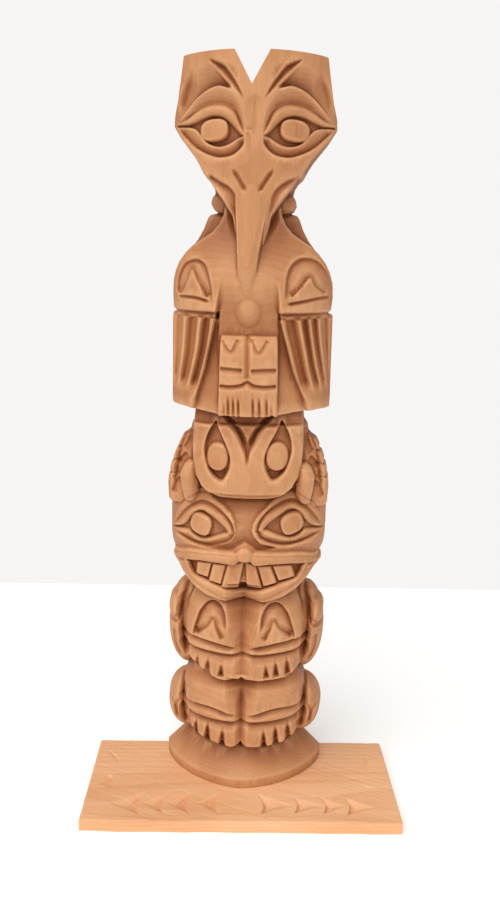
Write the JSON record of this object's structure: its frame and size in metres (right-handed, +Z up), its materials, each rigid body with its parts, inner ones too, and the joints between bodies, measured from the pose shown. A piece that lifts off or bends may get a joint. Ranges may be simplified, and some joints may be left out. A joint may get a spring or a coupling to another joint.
{
  "type": "totem pole",
  "caption": "Carved half-log totem pole of stacked bird, animal and face figures on a flat rectangular board, for standing on a shelf or table.",
  "frame": {"origin": "middle of the base board's underside, on the surface that the piece stands on", "axes": "+Z up along the pole, -Y towards the front that the figures face, +X to the right as seen from the front"},
  "size_m": [0.18, 0.09, 0.417],
  "materials": {
    "cedar_pole": "knife-carved and sanded cedar, thinly oiled, vertical grain, darker in the cuts",
    "cedar_board": "planed pale cedar, thinly oiled, grain along the board"
  },
  "bodies": {
    "root": {"totem_pole": "cedar_pole", "base_board": "cedar_board"}
  },
  "joints": []
}
